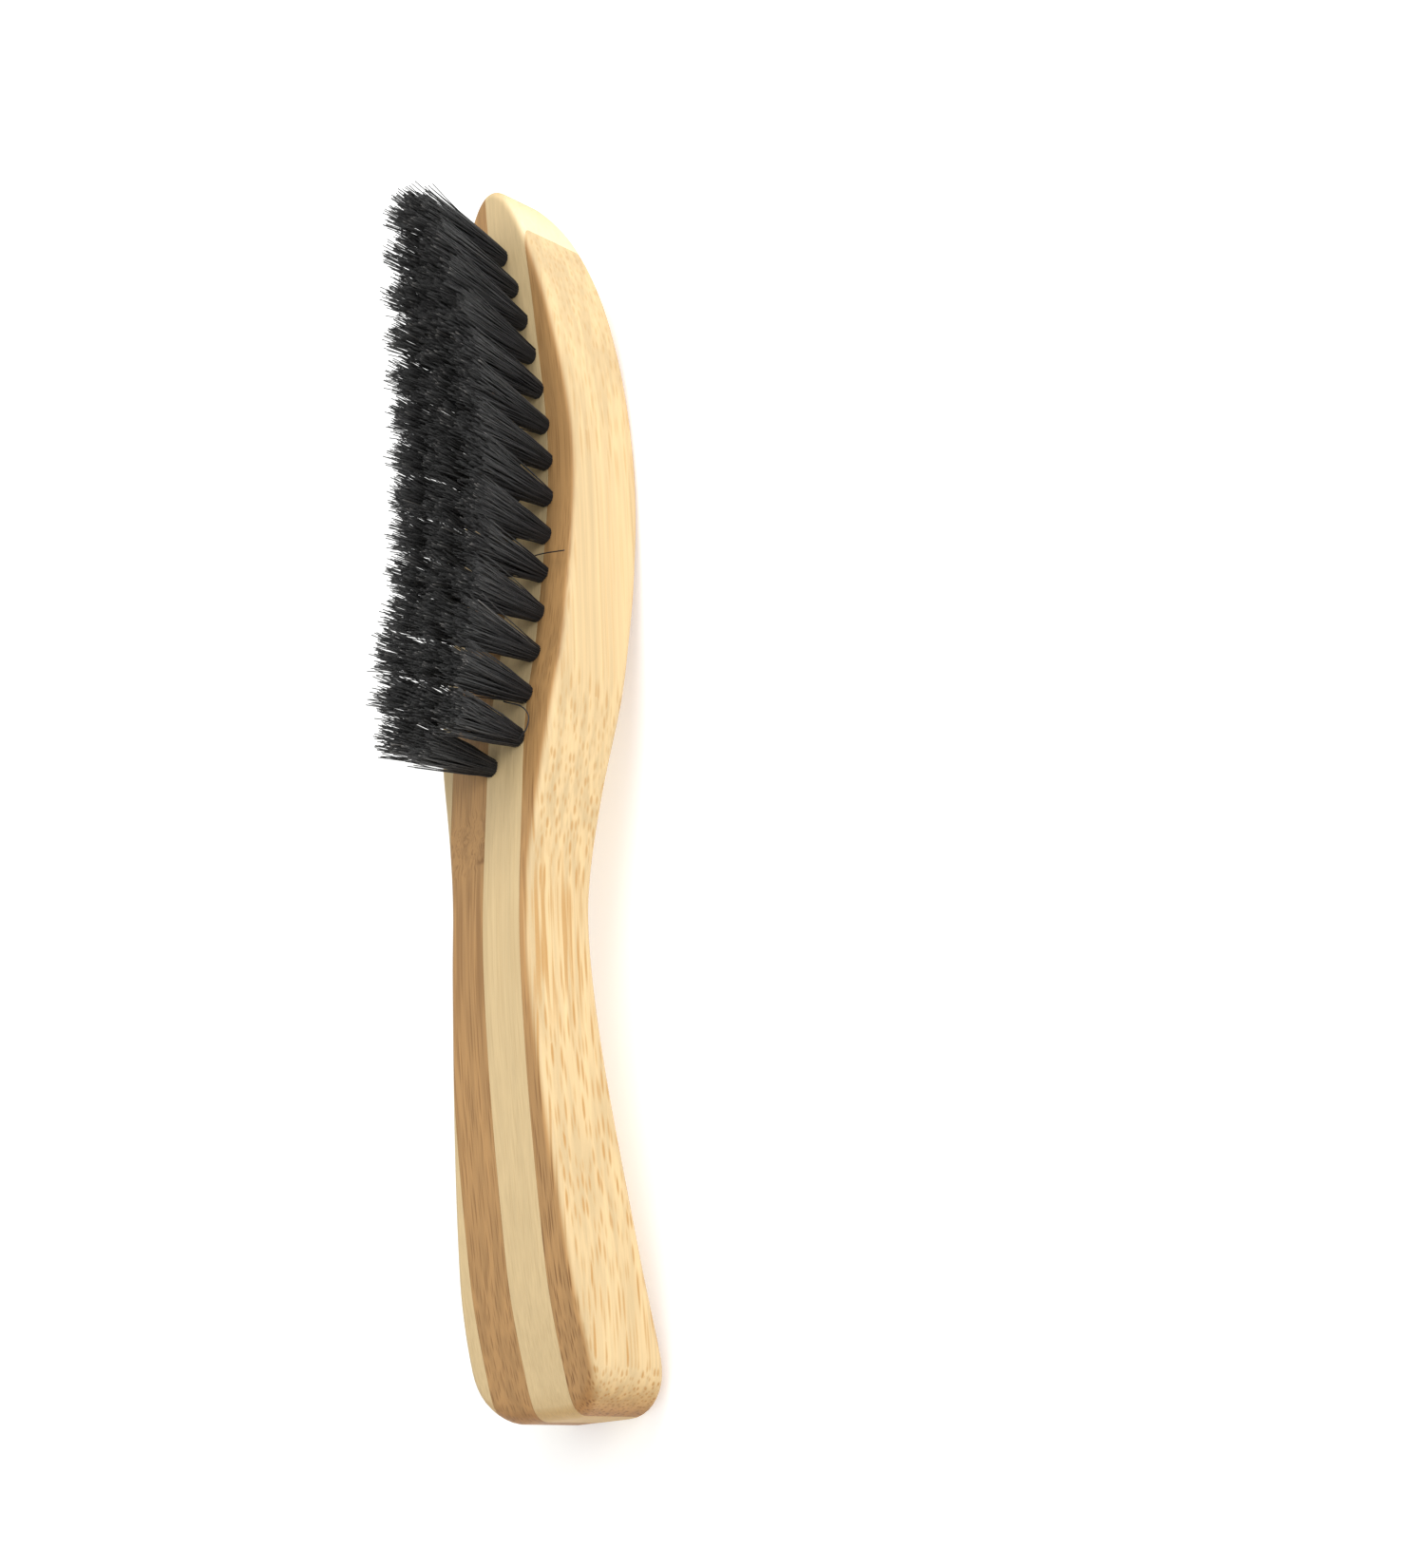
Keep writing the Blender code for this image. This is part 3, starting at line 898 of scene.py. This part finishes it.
def bristle_tree():
    tree, given = new_tree("bristles", [
        ("Bristles", 'Int', 190), ("Length", 'Float', 0.017), ("Depth", 'Float', 0.005),
        ("Root radius", 'Float', 0.0012), ("Tip radius", 'Float', 0.003),
        ("Thickness", 'Float', 0.00018), ("Curl", 'Float', 0.001), ("Unevenness", 'Float', 0.05),
        ("Lock size", 'Float', 0.0012), ("Gather", 'Float', 0.5), ("Root", 'Vector', None),
        ("Pointing", 'Vector', None), ("Seed", 'Int', 0), ("Material", 'Material', None)])
    line = add_node(tree, 'GeometryNodeCurvePrimitiveLine', End=(0.0, 0.0, 1.0)).outputs["Curve"]
    line = add_node(tree, 'GeometryNodeResampleCurve', Curve=line, Count=POINTS_ALONG)
    copies = add_node(tree, 'GeometryNodeDuplicateElements', {"domain": 'SPLINE'},
                      Geometry=line.outputs["Curve"], Amount=given["Bristles"])
    number = copies.outputs["Duplicate Index"]
    bend, stray, own_luck = (bristle_luck(tree, number, given["Seed"], offset)
                             for offset in (0.0, 500.0, 900.0))
    own_luck = parts_of(tree, own_luck)
    disc = spiral_place(tree, number, given["Bristles"])
    at_tip = scaled(tree, disc, given["Tip radius"])
    lock, lock_luck = lock_of(tree, at_tip, given["Lock size"], given["Seed"])

    # Height above the wood, from inside the hole to this bristle's own cut end.
    factor = add_node(tree, 'GeometryNodeSplineParameter').outputs["Factor"]
    uneven = math_node(tree, 'MULTIPLY_ADD', lock_luck, LOCK_SHARE, math_node(
        tree, 'MULTIPLY_ADD', own_luck["X"], OWN_SHARE, -LOCK_SHARE / 2))
    own = math_node(tree, 'MULTIPLY_ADD', uneven, given["Unevenness"], 1.0)
    own = math_node(tree, 'MULTIPLY', given["Length"], own)
    whole = math_node(tree, 'ADD', own, given["Depth"])
    height = math_node(tree, 'SUBTRACT', math_node(tree, 'MULTIPLY', factor, whole), given["Depth"])
    rise = math_node(tree, 'MAXIMUM', math_node(tree, 'DIVIDE', height, own), 0.0)

    # The bundle opens fast above the wood, and then slowly.
    opening = math_node(tree, 'SUBTRACT', given["Tip radius"], given["Root radius"])
    spread = math_node(tree, 'MULTIPLY_ADD', math_node(tree, 'POWER', rise, SPREAD_POWER), opening,
                       given["Root radius"])
    offset = sideways_move(tree, rise, vector_node(tree, 'SUBTRACT', lock, at_tip),
                           given["Gather"], given["Curl"], bend, stray)
    upright = add_node(tree, 'ShaderNodeCombineXYZ', Z=height).outputs[0]
    position = vector_node(tree, 'ADD', vector_node(tree, 'ADD', scaled(tree, disc, spread), offset),
                           upright)
    hairs = add_node(tree, 'GeometryNodeSetPosition', Geometry=copies.outputs["Geometry"],
                     Position=position).outputs["Geometry"]

    # How light a hair is: half its own luck, half its lock's.
    tone = math_node(tree, 'MULTIPLY_ADD', own_luck["Y"], 0.25,
                     math_node(tree, 'MULTIPLY_ADD', lock_luck, 0.5, 0.25))
    for label, value in (("along", rise), ("tone", tone)):
        hairs = add_node(tree, 'GeometryNodeStoreNamedAttribute',
                         {"data_type": 'FLOAT', "domain": 'POINT'}, Geometry=hairs, Name=label,
                         Value=value).outputs["Geometry"]

    section = add_node(tree, 'GeometryNodeCurvePrimitiveCircle', Resolution=3, Radius=1.0)
    half = math_node(tree, 'MULTIPLY', given["Thickness"], 0.5)
    girth = math_node(tree, 'MULTIPLY', half, math_node(tree, 'MULTIPLY_ADD', rise, TAPER, 1.0))
    tubes = add_node(tree, 'GeometryNodeCurveToMesh', Curve=hairs, Scale=girth, Fill_Caps=True,
                     Profile_Curve=section.outputs["Curve"])
    smooth = add_node(tree, 'GeometryNodeSetShadeSmooth', Geometry=tubes.outputs["Mesh"])
    turn = add_node(tree, 'FunctionNodeAlignRotationToVector', {"axis": 'Z'},
                    Vector=given["Pointing"]).outputs["Rotation"]
    placed = add_node(tree, 'GeometryNodeTransform', Geometry=smooth.outputs["Geometry"],
                      Translation=given["Root"], Rotation=turn)
    finish_tree(tree, placed.outputs["Geometry"], given["Material"])
    return tree


tree_of_bristles = bristle_tree()
print("The bristle tree has", len(tree_of_bristles.nodes), "nodes")

# %% [markdown]
# ## Filling the holes
# Every hole gets its own bundle, with its own seed, so no two tufts are alike. Each bundle stands for
# the solid tuft of the CAD model, which physics keeps.

# %% Tufts
EVERY_TUFT = {"Bristles": 190, "Depth": HOLE_DEPTH - 0.001, "Root radius": 0.00105,
              "Tip radius": 0.0032, "Thickness": 0.00021, "Curl": 0.0008, "Unevenness": 0.05,
              "Lock size": 0.0014, "Gather": 0.75, "Material": black_bristle}


def make_tuft(label, x, y, seed):
    root, direction, length = tuft_frame(x, y)
    tuft = new_piece("bristles_" + label, bpy.data.meshes.new("bristles_" + label))
    apply_tree(tuft, tree_of_bristles, EVERY_TUFT | {
        "Length": length, "Root": tuple(root), "Pointing": tuple(direction), "Seed": seed})
    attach(tuft, "root")
    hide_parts("tuft_" + label)
    return tuft


tufts = [make_tuft(label, x, y, seed) for seed, (label, x, y) in enumerate(tuft_places())]
print(len(tufts), "tufts,", sum(len(tuft.data.polygons) for tuft in tufts), "faces")

# %% [markdown]
# ## The wire anchors
# A short piece of flat wire is driven into each hole, across the fold of the bristles, and its ends
# bite into the wood. It is deep in the hole and never shows, but it is what holds a tuft.

# %% Wire anchors
ANCHOR_SIZE = (0.0026, 0.00025, 0.0012)
ANCHOR_HEIGHT = -0.0044
ANCHOR_WIRE = (0.55, 0.45, 0.25, 1.0)


def anchor_shape(tree, given):
    wire = add_node(tree, 'GeometryNodeMeshCube', Size=given["Size"])
    offset = add_node(tree, 'ShaderNodeCombineXYZ', Z=given["Height"]).outputs[0]
    return add_node(tree, 'GeometryNodeTransform', Geometry=wire.outputs["Mesh"],
                    Translation=offset).outputs["Geometry"]


anchor_tree = on_every_root("anchors", anchor_shape, [("Size", 'Vector', ANCHOR_SIZE),
                                                     ("Height", 'Float', ANCHOR_HEIGHT)])
anchor_wire = simple_material("anchor wire", ANCHOR_WIRE, 0.35)
anchor_wire.node_tree.nodes["Principled BSDF"].inputs["Metallic"].default_value = 1.0
anchors = apply_tree(root_points("wire_anchors"), anchor_tree, {"Material": anchor_wire})
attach(anchors, "root")
print("The anchors have", len(anchors.data.polygons), "faces")

# %% [markdown]
# ## Stray bristles
# Two long bristles have worked loose and lie across the wood. Each is a thin tube along a smooth
# curve through a few points, which hang just above the front face.

# %% Stray bristles
STRAY_THICKNESS = 0.0002
STRAYS = {"stray_bristle_head": [(0.0317, 0.0042, 0.0012), (0.0304, -0.0016, 0.0005),
                                 (0.0295, -0.0070, 0.0009), (0.0279, -0.0129, 0.0014)],
          "stray_bristle_heel": [(0.0057, -0.0052, 0.0030), (0.0041, -0.0079, 0.0012),
                                 (0.0015, -0.0088, 0.0012), (-0.0003, -0.0066, 0.0010)]}


def stray_bristle(name, points):
    """A tube through points given as distance along, distance across and height above the wood."""
    curve = bpy.data.curves.new(name, 'CURVE')
    curve.dimensions = '3D'
    curve.bevel_depth = STRAY_THICKNESS / 2
    curve.bevel_resolution = 1
    curve.use_fill_caps = True
    spline = curve.splines.new('BEZIER')
    spline.bezier_points.add(len(points) - 1)
    for knot, (x, y, above) in zip(spline.bezier_points, points):
        knot.co = (x, y, smooth_line(FRONT_LINE, x) + above)
        knot.handle_left_type = knot.handle_right_type = 'AUTO'
    tube = new_piece(name + "_curve", curve)
    graph = bpy.context.evaluated_depsgraph_get()
    mesh = bpy.data.meshes.new_from_object(tube.evaluated_get(graph), depsgraph=graph)
    stray = new_piece(name, mesh)
    bpy.data.objects.remove(tube)
    stray.data.materials.clear()
    stray.data.materials.append(black_bristle)
    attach(stray, "root")
    return stray


strays = [stray_bristle(name, points) for name, points in STRAYS.items()]
print(len(strays), "stray bristles")

# %% [markdown]
# ## The end
# The drill has done its work and goes.

# %% The end
bpy.data.objects.remove(drills)
bpy.context.view_layer.update()
